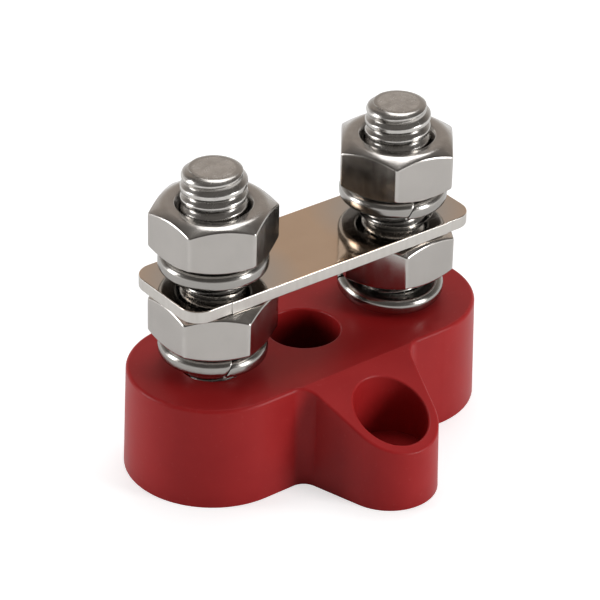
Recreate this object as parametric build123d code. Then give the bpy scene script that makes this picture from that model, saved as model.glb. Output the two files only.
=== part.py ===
from build123d import *
import math
import os

# Twin insulated stud bus bar: a red moulded base carries two upright studs, and a link bar joins them.
# Frame: the origin is on the underside, midway between the studs. X runs through both studs,
# Z is up and the screw ear points along -Y. Lengths are millimetres, angles are degrees.

# Studs: hexagon head bolts put in from below, so each head hides in a pocket of the base
stud_spacing = 34.8
thread_diameter = 10.0
stud_end_round = 1.3
stud_length = 40.0
head_across_flats = 17.0
head_height = 6.4
head_recess = 4.4

# Moulded base
base_end_radius = 13.5
base_height = 17.0
base_draft = 1.4
base_edge_round = 0.6
stud_hole_clearance = 0.05
pocket_clearance = 0.15

# Screw ear on the front of the base
ear_reach = 21.25
ear_tip_radius = 7.6
ear_side_taper = 16.0
ear_tip_height = 9.6
ear_root_round = 2.5
ear_edge_round = 0.45

# Fixing holes, one in the ear and one between the studs
screw_hole_radius = 2.25
screw_head_radius = 5.7
screw_floor_height = 5.6
screw_rim_round = 0.3

# Hexagon nuts
nut_across_flats = 17.0
nut_height = 8.0
nut_face_share = 0.895
nut_chamfer_angle = 30.0
nut_thread_clearance = 0.05
nut_countersink_width = 0.9
lower_nut_lift = 5.2
upper_nut_a_lift = 4.95
upper_nut_b_lift = 5.25

# Split spring washers, loose on the studs below each nut
washer_bore_play = 0.45
washer_width = 2.85
washer_thickness = 2.6
washer_edge_round = 0.55
washer_end_offset = 0.35
washer_gap = 0.15
washer_cut_angle = 25.0
washer_nut_clearance = 0.05

# Link bar, loose on the studs, so it sits a little off centre and askew on the lower nuts
bar_end_reach = 9.3
bar_width = 16.4
bar_thickness = 2.0
bar_corner_radius = 3.2
bar_punch_a = 7.0
bar_punch_b = 5.5
bar_end_step = 0.15
bar_hole_play = 0.75
bar_shift_x = 0.3
bar_shift_y = 0.3
bar_askew = -0.9

# Sizes that follow from the ones above
stud_x = {"a": -stud_spacing / 2, "b": stud_spacing / 2}
thread_radius = thread_diameter / 2
seat_height = head_recess + head_height
body_top_inset = base_height * math.tan(math.radians(base_draft))
body_top_half_width = base_end_radius - body_top_inset
ear_tip_y = -(ear_reach + ear_tip_radius)
washer_inner_radius = thread_radius + washer_bore_play
washer_outer_radius = washer_inner_radius + washer_width
bar_length = stud_spacing + 2 * bar_end_reach
bar_underside = base_height + lower_nut_lift + nut_height
bar_top = bar_underside + bar_thickness
nut_levels = {
    ("lower", "a"): base_height + lower_nut_lift,
    ("lower", "b"): base_height + lower_nut_lift,
    ("upper", "a"): bar_top + upper_nut_a_lift,
    ("upper", "b"): bar_top + upper_nut_b_lift,
}


class WasherPose:
    """How one washer hangs under its nut: its side shift, its droop towards -Y and its cut's bearing."""

    def __init__(self, shift_x, shift_y, droop, cut_bearing):
        self.shift_x = shift_x
        self.shift_y = shift_y
        self.droop = droop
        self.cut_bearing = cut_bearing


# The washers on stud b sit off centre, and its lower one hooks on the nut at the back and droops in front
washer_poses = {
    ("lower", "a"): WasherPose(0.0, 0.0, 0.0, 250.0),
    ("lower", "b"): WasherPose(-0.25, 0.2, 6.0, 150.0),
    ("upper", "a"): WasherPose(0.0, 0.0, 0.0, 60.0),
    ("upper", "b"): WasherPose(-0.25, 0.2, 0.0, 250.0),
}
nut_turns = {("lower", "a"): 27.1, ("lower", "b"): 2.8, ("upper", "a"): 31.8, ("upper", "b"): 50.6}


def base_outline(inset):
    """Plan of the base: a long round-ended body with one tapered ear, joined by hollow corners."""
    end_radius = base_end_radius - inset
    tip_radius = ear_tip_radius - inset
    body = SlotCenterToCenter(stud_spacing, 2 * end_radius)
    tip = Pos(0, -ear_reach) * Circle(tip_radius)
    taper = math.radians(ear_side_taper)
    touch_x = tip_radius * math.cos(taper)
    touch_y = -ear_reach - tip_radius * math.sin(taper)
    root_x = touch_x - touch_y * math.tan(taper)
    sides = Polygon(
        (-touch_x, touch_y), (touch_x, touch_y), (root_x, 0), (-root_x, 0), align=None
    )
    outline = body + tip + sides
    corner_x = touch_x - (touch_y + end_radius) * math.tan(taper)
    corners = outline.vertices().filter_by(
        lambda v: abs(v.Y + end_radius) < 0.01 and abs(abs(v.X) - corner_x) < 0.01
    )
    return fillet(corners, ear_root_round + inset)


def ear_cutter():
    """Everything above the ear's flat slope, which starts at the body's top edge and falls to the tip."""
    start = (-body_top_half_width, base_height)
    tip = (ear_tip_y, ear_tip_height)
    fall = (start[1] - tip[1]) / (start[0] - tip[0])
    far_y = ear_tip_y - ear_tip_radius
    far_z = base_height + fall * (far_y - start[0])
    wedge = Plane.YZ * Polygon(
        start, (far_y, far_z), (far_y, 2 * base_height), (start[0], 2 * base_height), align=None
    )
    return extrude(wedge, amount=stud_spacing, both=True)


def hexagon(across_flats, turn=0.0):
    """A hexagon by its width across flats; at no turn two of its corners lie along X."""
    return Rot(0, 0, turn) * RegularPolygon(across_flats / 2, 6, major_radius=False)


def screw_hole(y, top):
    """Cutter for one fixing: a through hole with a wide, flat-floored recess for the screw's head."""
    shank = Pos(0, y, 0) * Cylinder(screw_hole_radius, 3 * top)
    head_depth = 2 * top - screw_floor_height
    head = Pos(0, y, screw_floor_height) * Cylinder(
        screw_head_radius, head_depth, align=(Align.CENTER, Align.CENTER, Align.MIN)
    )
    return shank + head


def is_screw_rim(edge):
    """True for the two closed edges where the screw head recesses open on the top and on the slope."""
    box = edge.bounding_box()
    wide = abs(box.size.X - 2 * screw_head_radius) < 0.01
    return wide and box.min.Z > screw_floor_height + 0.1


def stud_hole(x):
    """Cutter for one stud: a close hole for the shank over a hexagon pocket for the head."""
    shank = Pos(x, 0, 0) * Cylinder(thread_radius + stud_hole_clearance, 3 * base_height)
    pocket = extrude(hexagon(head_across_flats + 2 * pocket_clearance, 30), amount=seat_height)
    return shank + Pos(x, 0, 0) * pocket


def rim_of(face):
    """The edges round a face, without the crease where the ear's slope leaves the body's flat top."""
    rim = []
    for edge in face.edges():
        start, end = edge @ 0, edge @ 1
        level = abs(start.Z - base_height) < 0.01 and abs(end.Z - base_height) < 0.01
        spans_ear = abs(start.X + end.X) < 0.01 and abs(start.Y + body_top_half_width) < 0.01
        if not (edge.geom_type == GeomType.LINE and level and spans_ear):
            rim.append(edge)
    return rim


def make_base():
    """Moulded insulator with drafted walls, two counterbored screw holes and a pocket under each stud."""
    underside = base_outline(0)
    top_plan = Pos(0, 0, base_height) * base_outline(body_top_inset)
    base = loft([underside.faces()[0], top_plan.faces()[0]], ruled=True)
    base -= ear_cutter()
    top = base.faces().sort_by(Axis.Z)[-1]
    base = fillet(rim_of(top), base_edge_round)
    planes = base.faces().filter_by(GeomType.PLANE)
    slope = planes.filter_by(lambda f: 0.1 < f.normal_at().Z < 0.99).sort_by(SortBy.AREA)[-1]
    base = fillet(rim_of(slope), ear_edge_round)
    for y in (0, -ear_reach):
        base -= screw_hole(y, base_height)
    rims = base.edges().filter_by(lambda e: is_screw_rim(e))
    base = fillet(rims, screw_rim_round)
    for x in stud_x.values():
        base -= stud_hole(x)
    return base


def make_stud():
    """Hexagon head bolt standing on its head, with the thread drawn as its plain outer cylinder."""
    upright = (Align.CENTER, Align.CENTER, Align.MIN)
    face_radius = nut_face_share * head_across_flats / 2
    reach = face_radius + head_height / math.tan(math.radians(nut_chamfer_angle))
    head = extrude(hexagon(head_across_flats, 30), amount=head_height)
    head &= Cone(face_radius, reach, head_height, align=upright)
    shank = Cylinder(thread_radius, head_height + stud_length, align=upright)
    end = shank.edges().filter_by(GeomType.CIRCLE).sort_by(Axis.Z)[-1]
    shank = fillet(end, stud_end_round)
    return Pos(0, 0, head_recess) * (head + shank)


def make_nut():
    """Hexagon nut with both faces chamfered, a wide countersink at each face and a plain thread bore."""
    face_radius = nut_face_share * nut_across_flats / 2
    slope = math.tan(math.radians(nut_chamfer_angle))
    half = nut_height / 2
    reach = face_radius + half / slope
    spindle = Polygon(
        (0, -half), (face_radius, -half), (reach, 0), (face_radius, half), (0, half), align=None
    )
    nut = Pos(0, 0, -half) * extrude(hexagon(nut_across_flats), amount=nut_height)
    nut &= revolve(Plane.XZ * spindle, Axis.Z)
    bore_radius = thread_radius + nut_thread_clearance
    nut -= Cylinder(bore_radius, 2 * nut_height)
    sink_radius = thread_radius + nut_countersink_width
    sink_depth = sink_radius - bore_radius
    sink = Cone(bore_radius, sink_radius, sink_depth, align=(Align.CENTER, Align.CENTER, Align.MAX))
    nut -= Pos(0, 0, half) * sink
    nut -= Pos(0, 0, -half) * Rot(180, 0, 0) * sink
    return Pos(0, 0, half) * nut


def make_washer():
    """Split ring of nearly square section whose slant-cut ends stand a little apart in height."""
    middle = (washer_inner_radius + washer_outer_radius) / 2
    width = washer_outer_radius - washer_inner_radius
    gap_turn = washer_gap / (2 * math.pi * middle)
    path = Helix(
        pitch=washer_end_offset / (1 - gap_turn), height=washer_end_offset, radius=middle
    )
    tilt = math.radians(washer_cut_angle)
    section = Plane(
        origin=path @ 0, x_dir=(1, 0, 0), z_dir=(0, math.cos(tilt), -math.sin(tilt))
    ) * RectangleRounded(width, washer_thickness / math.cos(tilt), washer_edge_round)
    ring = sweep(section, path=path, is_frenet=True)
    lift = washer_thickness / 2
    return Pos(0, 0, lift) * Rot(0, 0, math.degrees(math.pi * gap_turn)) * ring


def washer_place(level, side):
    """Place of one washer, hung so that its highest point just clears the nut above it."""
    pose = washer_poses[level, side]
    droop = math.radians(pose.droop)
    height = washer_thickness + washer_end_offset
    rise = washer_outer_radius * math.sin(droop) + height * math.cos(droop)
    z = nut_levels[level, side] - washer_nut_clearance - rise
    spot = Pos(stud_x[side] + pose.shift_x, pose.shift_y, z)
    return spot * Rot(pose.droop, 0, 0) * Rot(0, 0, pose.cut_bearing)


def make_bar():
    """Flat link with rounded corners; its punched ends are a hair narrower than its middle."""
    ends = RectangleRounded(bar_length, bar_width - 2 * bar_end_step, bar_corner_radius)
    middle = Rectangle(bar_length - bar_punch_a - bar_punch_b, bar_width)
    outline = ends + Pos((bar_punch_a - bar_punch_b) / 2, 0) * middle
    for x in stud_x.values():
        outline -= Pos(x, 0) * Circle(thread_radius + bar_hole_play)
    bar = extrude(outline, amount=bar_thickness)
    return Pos(bar_shift_x, bar_shift_y, bar_underside) * Rot(0, 0, bar_askew) * bar


def build_parts():
    """Every separate piece by its node's name, in its place."""
    parts = {"base": make_base(), "link_bar": make_bar()}
    stud = make_stud()
    nut = make_nut()
    washer = make_washer()
    for side, x in stud_x.items():
        parts[f"stud_{side}"] = Pos(x, 0, 0) * stud
        for level in ("lower", "upper"):
            turned_nut = Rot(0, 0, nut_turns[level, side]) * nut
            parts[f"{level}_nut_{side}"] = Pos(x, 0, nut_levels[level, side]) * turned_nut
            parts[f"{level}_washer_{side}"] = washer_place(level, side) * washer
    return parts


os.makedirs("parts", exist_ok=True)
for name, shape in build_parts().items():
    export_step(shape, f"parts/{name}.step")
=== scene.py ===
import math

import bmesh
import bpy
from mathutils import Matrix, Vector


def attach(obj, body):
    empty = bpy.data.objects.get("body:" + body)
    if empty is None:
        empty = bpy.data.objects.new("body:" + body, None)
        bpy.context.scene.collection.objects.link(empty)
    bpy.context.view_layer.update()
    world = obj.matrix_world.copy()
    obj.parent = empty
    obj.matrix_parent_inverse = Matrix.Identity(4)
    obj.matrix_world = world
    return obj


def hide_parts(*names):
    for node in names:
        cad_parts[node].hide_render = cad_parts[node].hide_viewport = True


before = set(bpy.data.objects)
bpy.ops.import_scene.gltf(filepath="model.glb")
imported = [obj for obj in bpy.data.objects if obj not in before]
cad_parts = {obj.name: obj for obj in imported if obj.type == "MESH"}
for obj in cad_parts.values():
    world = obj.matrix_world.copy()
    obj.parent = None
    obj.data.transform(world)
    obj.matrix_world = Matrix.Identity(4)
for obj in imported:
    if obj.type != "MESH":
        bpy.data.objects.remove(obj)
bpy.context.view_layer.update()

# Sizes in millimetres and angles in degrees, as in the part's source
MM = 0.001
STUD_X = {"a": -17.4, "b": 17.4}
LEVELS = ("lower", "upper")

# Nuts: height of each underside above the floor, and how far each is turned about its stud
NUT_UNDERSIDE = {("lower", "a"): 22.2, ("lower", "b"): 22.2, ("upper", "a"): 37.15, ("upper", "b"): 37.45}
NUT_TURN = {("lower", "a"): 27.1, ("lower", "b"): 2.8, ("upper", "a"): 31.8, ("upper", "b"): 50.6}
ACROSS_FLATS = 17.0
NUT_HEIGHT = 8.0
NUT_FACE_RADIUS = 7.6
NUT_CORNER_ROUND = 0.45
NUT_THREAD_PLAY = 0.12
NUT_SEAM = 0.01
SINK_RADIUS = 5.9
SINK_DEPTH = 0.9
CHAMFER = math.tan(math.radians(30))

# How far a nut's roundings run back and ahead: countersink's foot, countersink's rim, face's rim, side's rim
NUT_ROUNDS = [(0.1, 0.1), (0.15, 0.15), (0.7, 0.6), (0.3, 0.35)]

# A nut is worn beyond its rim radius, and beyond its side radius only within some degrees of a corner
NUT_WEAR = 0.3
NUT_RIM_RADIUS = NUT_FACE_RADIUS - 0.7
NUT_SIDE_RADIUS = NUT_FACE_RADIUS + 0.6
NUT_WORN_CORNER = 3.0

# Studs: hexagon head, thread and rounded end
HEAD_BOTTOM = 4.4
HEAD_TOP = 10.8
HEAD_CORNER_ROUND = 0.4
STUD_TOP = 50.8
STUD_STEPS = 96
THREAD_RADIUS = 5.0
THREAD_PITCH = 1.9
THREAD_START = 14.0
THREAD_TURN = 0.70
CREST_MIDDLE = 0.055
CREST_HALF_WIDTH = 0.35
CREST_FLANK = 0.6
CREST_WORN = 0.12
END_TALL = 2.0
END_RIM = 3.4
END_DISH = 0.06
END_CURL = 0.35
END_POWER = 2.2
END_CREST_DROP = 0.3

# The thread's profile: share of the pitch, and height against the crest
THREAD_PROFILE = [
    (0.0, 0.0), (0.055, 0.0), (0.11, 0.0), (0.17, 0.0), (0.21, -0.012), (0.25, -0.05), (0.29, -0.12),
    (0.36, -0.25), (0.43, -0.39), (0.50, -0.52), (0.555, -0.60), (0.61, -0.52), (0.68, -0.39),
    (0.75, -0.25), (0.82, -0.12), (0.86, -0.05), (0.90, -0.012), (0.94, 0.0),
]

# Rows over the stud's end: depths below its rim, then share of the rim's radius and depth below the top
CURL_DEPTHS = (0.30, 0.24, 0.18, 0.13, 0.09, 0.06, 0.035, 0.015, 0.005, 0.0)
DISH_ROWS = ((0.97, 0.055), (0.90, 0.048), (0.75, 0.034), (0.55, 0.018), (0.30, 0.005), (0.1, 0.0))

# Split spring washers
WASHER_INNER = 5.45
WASHER_OUTER = 8.3
WASHER_THICKNESS = 2.6
WASHER_BORE_ROUND = 0.5
WASHER_TOP_ROUND = 1.15
WASHER_BOTTOM_ROUND = 0.85
WASHER_OFFSET = 0.35
WASHER_GAP = 0.02
WASHER_CUT = 25.0
WASHER_END_SCALE = 0.99
WASHER_END_SHARE = 0.0008
WASHER_STEPS = 132
WASHER_END_WEAR = 0.8
# How far the painted shade on a washer's underside and bore reaches in from those faces
WASHER_SHADE_REACH = 0.02
WASHER_CLEARANCE = 0.05

# Each washer's side shift along X and Y, its droop towards -Y and its cut's bearing
WASHER_POSES = {
    ("lower", "a"): (0.0, 0.0, 0.0, 250.0),
    ("lower", "b"): (-0.25, 0.2, 6.0, 150.0),
    ("upper", "a"): (0.0, 0.0, 0.0, 60.0),
    ("upper", "b"): (-0.25, 0.2, 0.0, 250.0),
}

# Link bar
BAR_UNDERSIDE = 30.2
BAR_THICKNESS = 2.0
BAR_HALF_LENGTH = 26.7
BAR_HALF_WIDTH = 8.2
BAR_PUNCH_A = 7.0
BAR_PUNCH_B = 5.5
BAR_END_STEP = 0.15
BAR_STEP_RUN = 0.04
BAR_CORNER = 3.2
BAR_RIM_ROUND = 0.16
BAR_HOLE = 5.75
BAR_HOLE_STEPS = 72
BAR_SHIFT = (0.3, 0.3)
BAR_ASKEW = -0.9

# The four corners of a rectangle: the signs of X and Y, and where the quarter round begins
CORNERS = ((1, -1, -90), (1, 1, 0), (-1, 1, 90), (-1, -1, 180))
CORNER_STEPS = 8


# Helpers for shader nodes

def feed(tree, value, socket):
    """Links an output to an input, or sets the input to a plain value."""
    if isinstance(value, bpy.types.NodeSocket):
        tree.links.new(value, socket)
    else:
        socket.default_value = value


def add_node(tree, kind, inputs=(), **settings):
    """A shader node with its settings, and with each input named or numbered here fed."""
    node = tree.nodes.new("ShaderNode" + kind)
    for setting, value in settings.items():
        setattr(node, setting, value)
    for key, value in dict(inputs).items():
        feed(tree, value, node.inputs[key])
    return node


def place_on_object(tree, stretch=(1, 1, 1)):
    """Where a point is on its object, in metres, stretched along each axis."""
    coordinates = add_node(tree, "TexCoord").outputs["Object"]
    return add_node(tree, "Mapping", {"Vector": coordinates, "Scale": stretch}).outputs["Vector"]


def noise(tree, place, scale, detail=3.0):
    """Soft cloudy values around a half; a larger scale makes smaller clouds."""
    inputs = {"Vector": place, "Scale": scale, "Detail": detail, "Roughness": 0.55}
    return add_node(tree, "TexNoise", inputs).outputs["Fac"]


def remap(tree, value, low, high, out_low, out_high):
    """Carries the range from low to high over to another range, and stops at its ends."""
    inputs = {"Value": value, "From Min": low, "From Max": high, "To Min": out_low, "To Max": out_high}
    return add_node(tree, "MapRange", inputs).outputs["Result"]


def calculate(tree, operation, first, second):
    """One sum, product or the like of two values."""
    return add_node(tree, "Math", {0: first, 1: second}, operation=operation).outputs[0]


def any_of(tree, sockets):
    """One where any of the sockets is one."""
    result = sockets[0]
    for socket in sockets[1:]:
        result = calculate(tree, "MAXIMUM", result, socket)
    return result


def length_of(tree, place):
    """How far a place lies from the origin."""
    return add_node(tree, "VectorMath", {0: place}, operation="LENGTH").outputs["Value"]


def length_in_plan(tree, place):
    """How far a place lies from the upright axis through the origin."""
    flat = add_node(tree, "VectorMath", {0: place, 1: (1, 1, 0)}, operation="MULTIPLY")
    return length_of(tree, flat.outputs["Vector"])


def mix_colour(tree, factor, first, second):
    """Goes from the first colour to the second as the factor goes from zero to one."""
    node = add_node(tree, "Mix", {"Factor": factor}, data_type="RGBA")
    for name, value in (("A", first), ("B", second)):
        socket = [s for s in node.inputs if s.name == name and s.type == "RGBA"][0]
        feed(tree, (*value, 1.0) if isinstance(value, tuple) else value, socket)
    return [s for s in node.outputs if s.type == "RGBA"][0]


def bump(tree, height, strength, distance, under=None):
    """A fine relief, laid over another one if that is given."""
    inputs = {"Height": height, "Strength": strength, "Distance": distance}
    if under is not None:
        inputs["Normal"] = under
    return add_node(tree, "Bump", inputs).outputs["Normal"]


def mark(tree, name):
    """The value that make_piece stores on each point under this name."""
    return add_node(tree, "Attribute", attribute_name=name).outputs["Fac"]


def new_material(name, metallic):
    """A material with one shader, and its tree and shader to build on."""
    material = bpy.data.materials.new(name)
    material.use_nodes = True
    tree = material.node_tree
    tree.nodes.clear()
    shader = add_node(tree, "BsdfPrincipled", {"Metallic": metallic})
    add_node(tree, "OutputMaterial", {"Surface": shader.outputs["BSDF"]})
    return material, tree, shader


def finish_shader(tree, shader, colour, roughness, normal):
    """Links the three sockets that every material here drives."""
    for name, socket in (("Base Color", colour), ("Roughness", roughness), ("Normal", normal)):
        tree.links.new(socket, shader.inputs[name])


# Materials

def painted_hole_shade(tree):
    """Where shade is painted into the screw hole between the studs: one deep inside, falling to nothing at
    its rim and outside it.
    """
    place = add_node(tree, "TexCoord").outputs["Object"]
    inside = remap(tree, length_in_plan(tree, place), 5.8 * MM, 6.1 * MM, 1, 0)
    height = add_node(tree, "SeparateXYZ", {0: place}).outputs["Z"]
    return calculate(tree, "MULTIPLY", inside, remap(tree, height, 13.5 * MM, 16.7 * MM, 1, 0))


def moulded_red():
    """Moulded plastic: slow colour drift, faint flow waviness, a fine grain and painted shade deep in the
    screw hole between the studs.
    """
    deep = (0.39, 0.0145, 0.0155)
    bright = (0.44, 0.020, 0.0205)
    speck_colour = (0.50, 0.06, 0.055)
    # Near-black colour of the painted shade inside the screw hole
    hole_shade_colour = (0.15, 0.006, 0.006)
    material, tree, shader = new_material("moulded_red", 0.0)
    place = place_on_object(tree)
    drift = noise(tree, place, 90.0, 4.0)
    speck = noise(tree, place, 1400.0, 2.0)
    tone = mix_colour(tree, remap(tree, drift, 0.35, 0.65, 0, 1), deep, bright)
    tone = mix_colour(tree, remap(tree, speck, 0.64, 0.76, 0, 0.25), tone, speck_colour)
    # Painted shade: the screw hole between the studs turns near black below its rim
    tone = mix_colour(tree, painted_hole_shade(tree), tone, hole_shade_colour)
    shader.inputs["Specular IOR Level"].default_value = 0.21
    wave = bump(tree, noise(tree, place, 130.0, 2.0), 0.18, 0.0002)
    grain = bump(tree, noise(tree, place, 2600.0, 2.0), 0.08, 0.00003, wave)
    finish_shader(tree, shader, tone, remap(tree, drift, 0.3, 0.7, 0.34, 0.42), grain)
    return material


def plated_steel(name, base, bright, roughness, stretch=(1, 1, 1), painted_shade=None):
    """Plated steel with a faint cloudy stain, fine drawn lines, brighter metal on worn edges and, if given,
    painted shade in a near-black colour on marked points.
    """
    material, tree, shader = new_material(name, 1.0)
    place = place_on_object(tree)
    cloud = noise(tree, place, 170.0, 4.0)
    scratch = noise(tree, place_on_object(tree, stretch), 900.0, 3.0)
    darker = tuple(0.93 * share for share in base)
    tone = mix_colour(tree, remap(tree, cloud, 0.35, 0.68, 0, 1), base, darker)
    patches = remap(tree, noise(tree, place, 700.0), 0.25, 0.6, 0.35, 1)
    tone = mix_colour(tree, calculate(tree, "MULTIPLY", mark(tree, "edge"), patches), tone, bright)
    # Painted shade: points marked on a washer's bore and underside take a near-black colour
    if painted_shade is not None:
        tone = mix_colour(tree, mark(tree, "painted_shade"), tone, painted_shade)
    finish_shader(
        tree, shader, tone, remap(tree, scratch, 0.3, 0.7, *roughness), bump(tree, scratch, 0.05, 0.00002)
    )
    return material


def stud_distance(tree):
    """Distance in plan from the nearer stud, in metres."""
    place = add_node(tree, "TexCoord").outputs["Object"]
    folded = add_node(tree, "VectorMath", {0: place}, operation="ABSOLUTE").outputs["Vector"]
    stud_place = (STUD_X["b"] * MM, 0, 0)
    shifted = add_node(tree, "VectorMath", {0: folded, 1: stud_place}, operation="SUBTRACT")
    return length_in_plan(tree, shifted.outputs["Vector"])


def bar_face_metal():
    """The bar's faces: near mirror polish, yellowed between the studs, with faint rolling lines."""
    yellow = (0.89, 0.685, 0.515)
    deeper = (0.85, 0.65, 0.485)
    grey = (0.70, 0.665, 0.625)
    material, tree, shader = new_material("bar_face", 1.0)
    cloud = noise(tree, place_on_object(tree), 180.0, 3.0)
    tone = mix_colour(tree, remap(tree, cloud, 0.3, 0.7, 0, 1), yellow, deeper)
    tone = mix_colour(tree, remap(tree, stud_distance(tree), 7.0 * MM, 13.5 * MM, 1, 0), tone, grey)
    rolled = noise(tree, place_on_object(tree, (0.06, 1, 1)), 2200.0, 2.0)
    finish_shader(
        tree, shader, tone, remap(tree, rolled, 0.3, 0.7, 0.07, 0.11), bump(tree, rolled, 0.03, 0.00001)
    )
    return material


def bar_edge_metal():
    """The bar's sheared edges: paler and satin, with faint upright streaks from the punch."""
    pale = (0.62, 0.595, 0.56)
    darker = (0.57, 0.545, 0.51)
    material, tree, shader = new_material("bar_edge", 1.0)
    streak = noise(tree, place_on_object(tree, (1, 1, 0.08)), 1200.0, 3.0)
    tone = mix_colour(tree, remap(tree, streak, 0.35, 0.7, 0, 1), pale, darker)
    finish_shader(
        tree, shader, tone, remap(tree, streak, 0.3, 0.7, 0.30, 0.38), bump(tree, streak, 0.06, 0.00003)
    )
    return material


RED = moulded_red()
NUT_STEEL = plated_steel("nut_steel", (0.49, 0.465, 0.44), (0.72, 0.70, 0.67), (0.17, 0.25), (1, 1, 0.3))
STUD_STEEL = plated_steel("stud_steel", (0.48, 0.46, 0.435), (0.70, 0.68, 0.65), (0.20, 0.29))
# Washers carry painted shade, a near-black colour, on their bore and underside
WASHER_STEEL = plated_steel(
    "washer_steel", (0.38, 0.365, 0.345), (0.50, 0.48, 0.46), (0.18, 0.25), painted_shade=(0.12, 0.112, 0.105)
)
BAR_FACE = bar_face_metal()
BAR_EDGE = bar_edge_metal()

# The look of each of the record's steel slots
STEEL = {"stud_steel": STUD_STEEL, "nut_steel": NUT_STEEL, "washer_steel": WASHER_STEEL}


# Helpers for meshes

def merge_points(mesh):
    """Merges points that fell together, drops empty faces and turns every face outwards."""
    work = bmesh.new()
    work.from_mesh(mesh)
    bmesh.ops.remove_doubles(work, verts=work.verts, dist=2e-7)
    bmesh.ops.dissolve_degenerate(work, edges=work.edges, dist=1e-8)
    bmesh.ops.recalc_face_normals(work, faces=work.faces)
    work.to_mesh(mesh)
    work.free()


def add_piece(name, mesh, body, node):
    """Puts a mesh in the scene as the piece that stands for one CAD node and rides on its body."""
    piece = bpy.data.objects.new(name, mesh)
    bpy.context.scene.collection.objects.link(piece)
    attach(piece, body)
    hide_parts(node)
    return piece


def make_piece(name, skin, place, marks, slot_name, body, node, sharp):
    """A piece from a skin in millimetres, with the marks that its material reads stored on its points."""
    verts, faces = skin
    mesh = bpy.data.meshes.new(name)
    mesh.from_pydata([tuple(MM * c for c in place @ Vector(v)) for v in verts], [], faces)
    for mark_name, values in marks.items():
        layer = mesh.attributes.new(mark_name, "FLOAT", "POINT")
        layer.data.foreach_set("value", values)
    merge_points(mesh)
    mesh.shade_smooth()
    mesh.set_sharp_from_angle(angle=math.radians(sharp))
    mesh.materials.append(STEEL[slot_name])
    add_piece(name, mesh, body, node)


def rounded(points, reaches):
    """A polyline with its inner corners rounded; each reach is how far the round runs back and ahead."""
    steps = 4
    out = [points[0]]
    for before, corner, after, (back_reach, ahead_reach) in zip(points, points[1:], points[2:], reaches):
        corner = Vector(corner)
        back = Vector(before) - corner
        ahead = Vector(after) - corner
        start = corner + back.normalized() * back_reach
        end = corner + ahead.normalized() * ahead_reach
        for i in range(steps + 1):
            t = i / steps
            out.append(tuple((1 - t) ** 2 * start + 2 * t * (1 - t) * corner + t * t * end))
    out.append(points[-1])
    return out


def corner_arc(corner, half_width, half_height, radius):
    """The quarter round at one corner of a rectangle that is centred on the origin."""
    sign_x, sign_y, first = corner
    points = []
    for i in range(CORNER_STEPS + 1):
        a = math.radians(first + 90 * i / CORNER_STEPS)
        x = sign_x * (half_width - radius) + radius * math.cos(a)
        y = sign_y * (half_height - radius) + radius * math.sin(a)
        points.append((x, y))
    return points


def join_columns(columns, round_columns=True, round_rows=False):
    """Joins neighbouring columns of points into a skin; round ones also close from the last to the first."""
    count = len(columns)
    rows = len(columns[0])
    verts = [point for column in columns for point in column]
    faces = []
    for j in range(count if round_columns else count - 1):
        k = (j + 1) % count
        for i in range(rows if round_rows else rows - 1):
            n = (i + 1) % rows
            faces.append((j * rows + i, k * rows + i, k * rows + n, j * rows + n))
    return verts, faces


def hexagon_radius(offset, round_radius):
    """Distance from the axis to the hexagon's rounded outline, at an angle from the nearest corner."""
    half_corner = math.radians(30)
    centre = (ACROSS_FLATS / 2 - round_radius) / math.cos(half_corner)
    touch = math.atan2(round_radius * math.sin(half_corner), centre + round_radius * math.cos(half_corner))
    offset = abs(offset)
    if offset < touch:
        return centre * math.cos(offset) + math.sqrt(round_radius**2 - (centre * math.sin(offset)) ** 2)
    return ACROSS_FLATS / 2 / math.cos(half_corner - offset)


# Nuts

def nut_profile(radius):
    """Section of a nut about its middle height: up the bore, over the top, down the side and back under."""
    half = NUT_HEIGHT / 2
    drop = (radius - NUT_FACE_RADIUS) * CHAMFER
    bore = THREAD_RADIUS + NUT_THREAD_PLAY
    points = [
        (bore, 0),
        (bore, half - SINK_DEPTH),
        (SINK_RADIUS, half),
        (NUT_FACE_RADIUS, half),
        (radius, half - drop),
        (radius, -half + drop),
        (NUT_FACE_RADIUS, -half),
        (SINK_RADIUS, -half),
        (bore, -half + SINK_DEPTH),
        (bore, -NUT_SEAM),
    ]
    return rounded(points, NUT_ROUNDS + [(ahead, back) for back, ahead in reversed(NUT_ROUNDS)])


def nut_wear(r, offset):
    """How worn a nut's surface is: along its upright corners and round the rims of its faces."""
    if r > NUT_SIDE_RADIUS:
        return NUT_WEAR * max(0.0, 1 - abs(offset) / NUT_WORN_CORNER)
    return NUT_WEAR if r > NUT_RIM_RADIUS else 0.0


def make_nut(level, side):
    """Hexagon nut: turned chamfers on both faces, softened corners and countersinks."""
    near_corner = [0, 0.5, 1.0, 1.6, 2.4, 3.5, 5, 7.5, 10.5, 14, 18, 22, 26, 30]
    offsets = [-offset for offset in near_corner[:0:-1]] + near_corner[:-1]
    columns = []
    wear = []
    for sector in range(6):
        for offset in offsets:
            angle = math.radians(60 * sector + offset + NUT_TURN[level, side])
            line = nut_profile(hexagon_radius(math.radians(offset), NUT_CORNER_ROUND))
            columns.append([(r * math.cos(angle), r * math.sin(angle), z + NUT_HEIGHT / 2) for r, z in line])
            wear.extend(nut_wear(r, offset) for r, _ in line)
    node = f"{level}_nut_{side}"
    place = Matrix.Translation((STUD_X[side], 0, NUT_UNDERSIDE[level, side]))
    skin = join_columns(columns, round_rows=True)
    make_piece(node + "_hex", skin, place, {"edge": wear}, "nut_steel", node, node, sharp=32)


# Studs

def thread_depth(phase):
    """Height of the thread's profile against its crest, at a share of the pitch."""
    phase %= 1.0
    points = [*THREAD_PROFILE, (1.0, THREAD_PROFILE[0][1])]
    for (u0, r0), (u1, r1) in zip(points, points[1:]):
        if phase <= u1:
            return r0 + (r1 - r0) * (phase - u0) / (u1 - u0)
    return points[-1][1]


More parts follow.
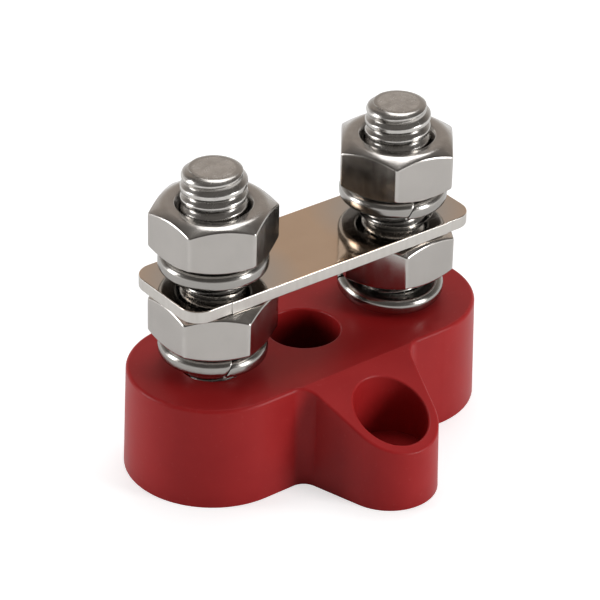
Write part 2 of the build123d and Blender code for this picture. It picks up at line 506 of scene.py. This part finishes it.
def end_radius(z):
    """Radius of the stud's turned, rounded end at a height."""
    drop = (STUD_TOP - END_DISH - z) / END_TALL
    if drop >= 1:
        return THREAD_RADIUS
    spread = 1 - (1 - max(0.0, drop)) ** END_POWER
    return END_RIM + (THREAD_RADIUS - END_RIM) * spread ** (1 / END_POWER)


def end_limit(z, phase):
    """Radius that the rounded stud end leaves of the thread at a height and a share of the pitch."""
    offset = ((phase - CREST_MIDDLE + 0.5) % 1.0 - 0.5) * THREAD_PITCH
    share = min(1.0, max(0.0, (abs(offset) - CREST_HALF_WIDTH) / CREST_FLANK))
    crest_z = min(STUD_TOP - END_CREST_DROP, z - offset * (1 - share * share * (3 - 2 * share)))
    return min(thread_depth(phase) + end_radius(crest_z), end_radius(z))


def thread_phase(z, share):
    """Share of the pitch that the thread has reached at a height and at a share of a full turn."""
    return (z - THREAD_START) / THREAD_PITCH - share + THREAD_TURN


def head_rows(angle):
    """Radius, height and wear of the bolt's head and of the plain shank above it, at an angle."""
    nearest = (math.degrees(angle) - 30) % 60
    radius = hexagon_radius(math.radians(min(nearest, 60 - nearest)), HEAD_CORNER_ROUND)
    drop = (radius - NUT_FACE_RADIUS) * CHAMFER
    return [
        (0.0, HEAD_BOTTOM, 0.0),
        (NUT_FACE_RADIUS - 0.2, HEAD_BOTTOM, 0.0),
        (NUT_FACE_RADIUS + 0.1, HEAD_BOTTOM + 0.04, 0.2),
        (radius, HEAD_BOTTOM + drop, 0.4),
        (radius, HEAD_TOP - 0.1, 0.3),
        (radius - 0.1, HEAD_TOP, 0.0),
        (THREAD_RADIUS, HEAD_TOP, 0.0),
        (THREAD_RADIUS, THREAD_START - 0.3, 0.0),
    ]


def thread_rows(share):
    """Radius, height and wear of the thread, whose rows climb by one pitch in a full turn."""
    rows = []
    for k in range(-1, int((STUD_TOP - THREAD_START) / THREAD_PITCH) + 2):
        for u, _ in THREAD_PROFILE:
            z = THREAD_START + THREAD_PITCH * (k + u + share)
            z = min(max(z, THREAD_START), STUD_TOP - END_DISH - END_CURL)
            phase = thread_phase(z, share)
            radius = THREAD_RADIUS + thread_depth(phase) * min(1.0, z - THREAD_START)
            wear = 0.6 if radius > THREAD_RADIUS - CREST_WORN else 0.0
            rows.append((min(radius, end_limit(z, phase)), z, wear))
    return rows


def end_rows(share):
    """Radius, height and wear of the end's curled rim and of the shallow dish inside it."""
    rows = []
    for depth in CURL_DEPTHS:
        z = STUD_TOP - END_DISH - depth
        rows.append((max(END_RIM, end_limit(z, thread_phase(z, share))), z, 0.2))
    for rim_share, depth in DISH_ROWS:
        rows.append((END_RIM * rim_share, STUD_TOP - depth, 0.3 if rim_share > 0.95 else 1.0))
    return rows


def make_stud(side):
    """Bolt on its head: hexagon head, then a rolled thread that runs out into a rounded end."""
    columns = []
    wear = []
    for j in range(STUD_STEPS):
        share = j / STUD_STEPS
        angle = 2 * math.pi * share
        rows = head_rows(angle) + thread_rows(share) + end_rows(share)
        columns.append([(r * math.cos(angle), r * math.sin(angle), z) for r, z, _ in rows])
        wear.extend(row_wear for _, _, row_wear in rows)
    verts, faces = join_columns(columns)
    rows_each = len(columns[0])
    faces.append(tuple(j * rows_each + rows_each - 1 for j in range(STUD_STEPS)))
    node = f"stud_{side}"
    place = Matrix.Translation((STUD_X[side], 0, 0))
    skin = (verts, faces)
    make_piece(node + "_threaded", skin, place, {"edge": wear}, "stud_steel", "base", node, sharp=34)


# Washers

def washer_place(level, side):
    """Place of one washer, hung so that its highest point just clears the nut above it."""
    shift_x, shift_y, droop, bearing = WASHER_POSES[level, side]
    lean = math.radians(droop)
    height = WASHER_THICKNESS + WASHER_OFFSET
    rise = WASHER_OUTER * math.sin(lean) + height * math.cos(lean)
    z = NUT_UNDERSIDE[level, side] - WASHER_CLEARANCE - rise
    spot = Matrix.Translation((STUD_X[side] + shift_x, shift_y, z))
    return spot @ Matrix.Rotation(lean, 4, "X") @ Matrix.Rotation(math.radians(bearing), 4, "Z")


def washer_section(half, tall):
    """Rounded section about its own middle, softer outside than at the bore."""
    section = []
    for corner in CORNERS:
        outer_round = WASHER_TOP_ROUND if corner[1] > 0 else WASHER_BOTTOM_ROUND
        section += corner_arc(corner, half, tall, WASHER_BORE_ROUND if corner[0] < 0 else outer_round)
    return section


def make_washer(level, side):
    """Split ring whose slant-cut ends stand a little apart in height, with painted shade on its bore and
    underside.
    """
    middle = (WASHER_INNER + WASHER_OUTER) / 2
    half = (WASHER_OUTER - WASHER_INNER) / 2
    tall = WASHER_THICKNESS / 2
    gap = WASHER_GAP / middle
    slant = math.tan(math.radians(WASHER_CUT)) / middle
    section = washer_section(half, tall)
    # Points on the bore and on the underside get the painted shade mark
    bore = WASHER_SHADE_REACH - half
    underside = WASHER_SHADE_REACH - tall
    section_painted_shade = [1.0 if z < underside or x < bore else 0.0 for x, z in section]
    run = 1 - 2 * WASHER_END_SHARE
    stations = [(WASHER_END_SHARE + run * i / WASHER_STEPS, 1.0) for i in range(WASHER_STEPS + 1)]
    stations = [(0.0, WASHER_END_SCALE), *stations, (1.0, WASHER_END_SCALE)]
    columns = []
    wear = []
    for share, scale in stations:
        angle = gap / 2 + share * (2 * math.pi - gap)
        column = []
        for x, z in section:
            turn = angle + z * scale * slant
            radius = middle + x * scale
            height = tall + WASHER_OFFSET * share + z * scale
            column.append((radius * math.cos(turn), radius * math.sin(turn), height))
        columns.append(column)
        wear.extend([WASHER_END_WEAR if scale < 1 else 0.0] * len(section))
    verts, faces = join_columns(columns, round_columns=False, round_rows=True)
    faces.append(tuple(range(len(section))))
    faces.append(tuple(reversed(range(len(verts) - len(section), len(verts)))))
    marks = {"edge": wear, "painted_shade": section_painted_shade * len(stations)}
    node = f"{level}_washer_{side}"
    body = "link" if level == "lower" else node
    place = washer_place(level, side)
    make_piece(node + "_split", (verts, faces), place, marks, "washer_steel", body, node, sharp=34)


# Link bar

def bar_outline():
    """Corner points of the link's plan, with rounded ends a hair narrower than the middle."""
    narrow = BAR_HALF_WIDTH - BAR_END_STEP
    points = []
    for corner in CORNERS:
        sign_x, sign_y, first = corner
        arc = corner_arc(corner, BAR_HALF_LENGTH, narrow, BAR_CORNER)
        step_x = BAR_HALF_LENGTH - (BAR_PUNCH_B if sign_x > 0 else BAR_PUNCH_A)
        step = [
            (sign_x * (step_x - BAR_STEP_RUN), sign_y * BAR_HALF_WIDTH),
            (sign_x * (step_x + BAR_STEP_RUN), sign_y * narrow),
        ]
        points += step + arc if first in (-90, 90) else arc + step[::-1]
    return points


def hole_outline(x):
    """Points round the stud hole at x."""
    angles = [2 * math.pi * i / BAR_HOLE_STEPS for i in range(BAR_HOLE_STEPS)]
    return [(x + BAR_HOLE * math.cos(angle), BAR_HOLE * math.sin(angle)) for angle in angles]


def bar_curve():
    """The bar as a filled curve: its outline and two holes, thickened, with rounded rims."""
    curve = bpy.data.curves.new("link_bar_outline", "CURVE")
    curve.dimensions = "2D"
    curve.fill_mode = "BOTH"
    for loop in (bar_outline(), *(hole_outline(x) for x in STUD_X.values())):
        spline = curve.splines.new("POLY")
        spline.points.add(len(loop) - 1)
        for point, (x, y) in zip(spline.points, loop):
            point.co = (x * MM, y * MM, 0, 1)
        spline.use_cyclic_u = True
    curve.extrude = (BAR_THICKNESS / 2 - BAR_RIM_ROUND) * MM
    curve.bevel_depth = BAR_RIM_ROUND * MM
    curve.bevel_resolution = 2
    curve.offset = -BAR_RIM_ROUND * MM
    return curve


def make_bar():
    """Flat link made from its curve, set a little off centre and askew, with its own metal on the edges."""
    source = bpy.data.objects.new("link_bar_outline", bar_curve())
    bpy.context.scene.collection.objects.link(source)
    bpy.context.view_layer.update()
    graph = bpy.context.evaluated_depsgraph_get()
    mesh = bpy.data.meshes.new_from_object(source.evaluated_get(graph))
    bpy.data.objects.remove(source)
    mesh.name = "link_bar_plate"
    middle = (BAR_UNDERSIDE + BAR_THICKNESS / 2) * MM
    spot = Matrix.Translation((BAR_SHIFT[0] * MM, BAR_SHIFT[1] * MM, middle))
    mesh.transform(spot @ Matrix.Rotation(math.radians(BAR_ASKEW), 4, "Z"))
    merge_points(mesh)
    mesh.materials.clear()
    mesh.materials.append(BAR_FACE)
    mesh.materials.append(BAR_EDGE)
    for face in mesh.polygons:
        face.material_index = 0 if abs(face.normal.z) > 0.6 else 1
    mesh.shade_smooth()
    mesh.set_sharp_from_angle(angle=math.radians(35))
    piece = add_piece("link_bar_plate", mesh, "link", "link_bar")
    weighted = piece.modifiers.new("even_shading", "WEIGHTED_NORMAL")
    weighted.keep_sharp = True


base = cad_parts["base"]
base.data.materials.clear()
base.data.materials.append(RED)
for side in STUD_X:
    make_stud(side)
    for level in LEVELS:
        make_nut(level, side)
        make_washer(level, side)
make_bar()


# Floor and world, in metres

FLOOR_HALF_SIZE = 3.0
FLOOR_DROP = 0.00002
FLOOR_GLOW_SEEN = 0.62
FLOOR_GLOW_REFLECTED = 0.34
FLOOR_GLOW_FAR = 0.4
SKY_LIGHT = 0.26
SKY_LIGHT_FRONT = 0.10
SECOND_REFLECTION = 0.35
VIEW_WAY = (0.628, 0.778, 0.0)


def reflected_rays(tree, path):
    """One for the rays that metal and glass send out."""
    return any_of(tree, [path.outputs["Is Glossy Ray"], path.outputs["Is Transmission Ray"]])


def floor_material():
    """A white floor that takes the object's soft shadow and fades into the white backdrop far away."""
    material = bpy.data.materials.new("studio_floor")
    material.use_nodes = True
    tree = material.node_tree
    tree.nodes.clear()
    path = add_node(tree, "LightPath")
    diffuse = add_node(tree, "BsdfDiffuse", {"Color": (0.80, 0.80, 0.80, 1)})
    reflected = reflected_rays(tree, path)
    near = remap(tree, reflected, 0, 1, FLOOR_GLOW_SEEN, FLOOR_GLOW_REFLECTED)
    away = length_of(tree, add_node(tree, "TexCoord").outputs["Object"])
    strength = calculate(tree, "ADD", near, remap(tree, away, 0.15, 0.7, 0, FLOOR_GLOW_FAR))
    glow = add_node(tree, "Emission", {"Color": (1, 1, 1, 1), "Strength": strength})
    lit = add_node(tree, "AddShader", {0: diffuse.outputs[0], 1: glow.outputs[0]})
    shown = any_of(tree, [path.outputs["Is Camera Ray"], reflected])
    choice = add_node(tree, "MixShader", {0: shown, 1: diffuse.outputs[0], 2: lit.outputs[0]})
    add_node(tree, "OutputMaterial", {"Surface": choice.outputs[0]})
    return material


def make_floor():
    """A wide plain floor just below the object."""
    half = FLOOR_HALF_SIZE
    mesh = bpy.data.meshes.new("studio_floor")
    corners = [(-half, -half, -FLOOR_DROP), (half, -half, -FLOOR_DROP), (half, half, -FLOOR_DROP)]
    corners.append((-half, half, -FLOOR_DROP))
    mesh.from_pydata(corners, [], [(0, 1, 2, 3)])
    mesh.materials.append(floor_material())
    floor = bpy.data.objects.new("studio_floor", mesh)
    bpy.context.scene.collection.objects.link(floor)


def studio_colour(tree, height, ahead):
    """What metal mirrors: white low down, and above it a warm wall behind the object and dark before it."""
    dark = mix_colour(tree, remap(tree, height, 0.75, 0.97, 0, 1), (0.125, 0.118, 0.112), (0.22, 0.21, 0.20))
    front = mix_colour(tree, remap(tree, height, 0.02, 0.22, 1, 0), dark, (0.80, 0.79, 0.78))
    wall = mix_colour(tree, remap(tree, height, 0.12, 0.44, 1, 0), (0.42, 0.37, 0.33), (0.80, 0.78, 0.76))
    wall = mix_colour(tree, remap(tree, height, 0.52, 0.72, 0, 1), wall, (0.26, 0.23, 0.21))
    return mix_colour(tree, remap(tree, ahead, 0.2, 0.76, 0, 1), front, wall)


def make_world():
    """White backdrop, even light, and in metal the studio, dimmer where one metal is mirrored in another."""
    world = bpy.data.worlds.new("studio")
    world.use_nodes = True
    tree = world.node_tree
    tree.nodes.clear()
    path = add_node(tree, "LightPath")
    way = add_node(tree, "TexCoord").outputs["Generated"]
    height = add_node(tree, "SeparateXYZ", {0: way}).outputs["Z"]
    ahead = add_node(tree, "VectorMath", {0: way, 1: VIEW_WAY}, operation="DOT_PRODUCT").outputs["Value"]
    light = remap(tree, ahead, -0.7, -0.1, SKY_LIGHT_FRONT, SKY_LIGHT)
    again = remap(tree, path.outputs["Glossy Depth"], 1.4, 1.6, 1.0, SECOND_REFLECTION)
    studio = studio_colour(tree, height, ahead)
    lit = add_node(tree, "Background", {"Color": (1.0, 0.99, 0.98, 1), "Strength": light})
    mirrored = add_node(tree, "Background", {"Color": studio, "Strength": again})
    white = add_node(tree, "Background", {"Color": (1, 1, 1, 1), "Strength": 1.0})
    around = add_node(
        tree, "MixShader", {0: reflected_rays(tree, path), 1: lit.outputs[0], 2: mirrored.outputs[0]}
    )
    seen = add_node(
        tree, "MixShader", {0: path.outputs["Is Camera Ray"], 1: around.outputs[0], 2: white.outputs[0]}
    )
    add_node(tree, "OutputWorld", {"Surface": seen.outputs[0]})
    bpy.context.scene.world = world


make_floor()
make_world()


# Lamps and camera, in metres and degrees

AIM = Vector((0, 0, 0.02))
CAMERA_PLACE = (-0.26724, -0.33056, 0.27965)
CAMERA_BEARING = 51.1291
CAMERA_TILT = 31.2242
CAMERA_ROLL = 1.3541
CAMERA_LENS = 195.323
SENSOR_WIDTH = 36.0


def direction(bearing, elevation):
    """A direction by its bearing, counted from +X towards +Y, and its elevation."""
    a = math.radians(bearing)
    e = math.radians(elevation)
    return Vector((math.cos(a) * math.cos(e), math.sin(a) * math.cos(e), math.sin(e)))


def softbox(name, bearing, elevation, distance, width, height, power):
    """A rectangular lamp at a bearing and elevation from the part, aimed at it."""
    light = bpy.data.lights.new(name, "AREA")
    light.shape = "RECTANGLE"
    light.size = width
    light.size_y = height
    light.energy = power
    lamp = bpy.data.objects.new(name, light)
    bpy.context.scene.collection.objects.link(lamp)
    way = direction(bearing, elevation)
    lamp.location = AIM + way * distance
    lamp.rotation_euler = (-way).to_track_quat("-Z", "Y").to_euler()


def make_camera():
    """The camera at the photograph's place and angle."""
    data = bpy.data.cameras.new("camera")
    data.sensor_fit = "HORIZONTAL"
    data.sensor_width = SENSOR_WIDTH
    data.lens = CAMERA_LENS
    data.clip_start = 0.01
    data.clip_end = 20.0
    camera = bpy.data.objects.new("camera", data)
    bpy.context.scene.collection.objects.link(camera)
    level = direction(CAMERA_BEARING, -CAMERA_TILT).to_track_quat("-Z", "Y").to_matrix().to_4x4()
    roll = Matrix.Rotation(math.radians(CAMERA_ROLL), 4, "Z")
    camera.matrix_world = Matrix.Translation(CAMERA_PLACE) @ level @ roll
    bpy.context.scene.camera = camera


softbox("softbox_left", 145, 14, 0.70, 0.22, 0.42, 2.0)
softbox("softbox_right", 299, 15, 0.75, 0.20, 0.44, 2.9)
softbox("softbox_top", 40, 69, 0.90, 0.42, 0.60, 2.3)
make_camera()
bpy.context.scene.view_settings.view_transform = "Standard"
bpy.context.scene.cycles.glossy_bounces = 2
bpy.context.scene.cycles.diffuse_bounces = 1
